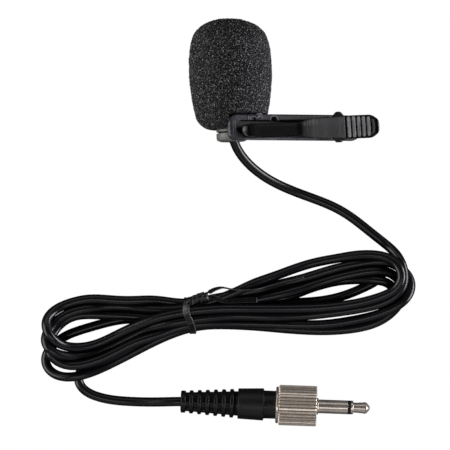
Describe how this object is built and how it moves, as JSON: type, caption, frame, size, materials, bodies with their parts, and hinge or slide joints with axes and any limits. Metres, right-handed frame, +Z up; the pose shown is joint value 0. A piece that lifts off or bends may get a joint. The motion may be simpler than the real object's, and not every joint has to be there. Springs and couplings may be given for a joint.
{
  "type": "lavalier microphone",
  "caption": "Clip-on lavalier microphone with foam windscreen, swivelling tie clip, cable tied in a hank, ribbed strain relief and locking 3.5 mm plug.",
  "frame": {"origin": "centre of the footprint of the microphone and clip, on the table (the cord and plug are left out)", "axes": "+X along the clip towards its finger pad, +Y towards the windscreen's round end, +Z up from the table"},
  "size_m": [0.0952, 0.1034, 0.0211],
  "materials": {
    "barrel_metal": "satin",
    "capsule_metal": "satin",
    "felt_black": "matt",
    "rubber_black": "matt",
    "board_green": "satin",
    "wire_red": "gloss",
    "wire_copper": "bright",
    "foam": "open-cell foam",
    "clip_plastic": "satin",
    "pin_metal": "worn",
    "cable_jacket": "satin",
    "tie_plastic": "gloss",
    "boot_rubber": "satin",
    "handle_plastic": "satin",
    "nickel": "bright",
    "nut_metal": "knurled",
    "insulator_black": "gloss",
    "insulator_white": "matt"
  },
  "bodies": {
    "microphone": {"mic_housing": "barrel_metal", "mic_end_cap": "barrel_metal", "mic_front_ring": "barrel_metal", "mic_grille": "capsule_metal", "capsule_felt": "felt_black", "mic_capsule": "capsule_metal", "capsule_gasket": "rubber_black", "capsule_board": "board_green", "lead_red": "wire_red", "lead_bare": "wire_copper", "cable_crimp": "capsule_metal", "cable_lead": "cable_jacket", "cable_hank": "cable_jacket", "cable_tail": "cable_jacket", "cable_tie": "tie_plastic", "strain_relief_boot": "boot_rubber", "plug_handle": "handle_plastic", "plug_body": "nickel", "nut_retainer": "pin_metal", "sleeve_contact": "nickel", "insulator_ring": "insulator_black", "tip_contact": "nickel", "tip_rod": "wire_copper", "core_insulator": "insulator_white", "sleeve_terminal": "pin_metal", "tip_terminal": "wire_copper", "tip_wire": "wire_red"},
    "clip": {"clip_base": "clip_plastic", "clip_holder_ring": "clip_plastic", "clip_hinge_pin": "pin_metal", "clip_spring": "pin_metal"},
    "lever": {"clip_lever": "clip_plastic", "clip_spring_leg": "pin_metal"},
    "screen": {"windscreen": "foam"},
    "nut": {"locking_nut": "nut_metal"}
  },
  "joints": [
    {"name": "clip_swivel", "type": "hinge", "parent": "microphone", "child": "clip", "pos_m": [-0.01333, -0.0106, 0.01121], "axis": [-0.0261, 0.9985, -0.0488], "continuous": true},
    {"name": "lever_hinge", "type": "hinge", "parent": "clip", "child": "lever", "pos_m": [0.01372, -0.01198, 0.00534], "axis": [-0.0261, 0.9985, -0.0488], "range_deg": [0, 14], "stiffness_Nm_per_rad": 0.05, "springref_deg": -17.19},
    {"name": "windscreen_slide", "type": "slide", "parent": "clip", "child": "screen", "axis": [-0.0261, 0.9985, -0.0488], "range_m": [0, 0.03]},
    {"name": "nut_spin", "type": "hinge", "parent": "microphone", "child": "nut", "pos_m": [0.00351, -0.08247, 0.00522], "axis": [0.9994, -0.0349, 0.0087], "continuous": true}
  ]
}
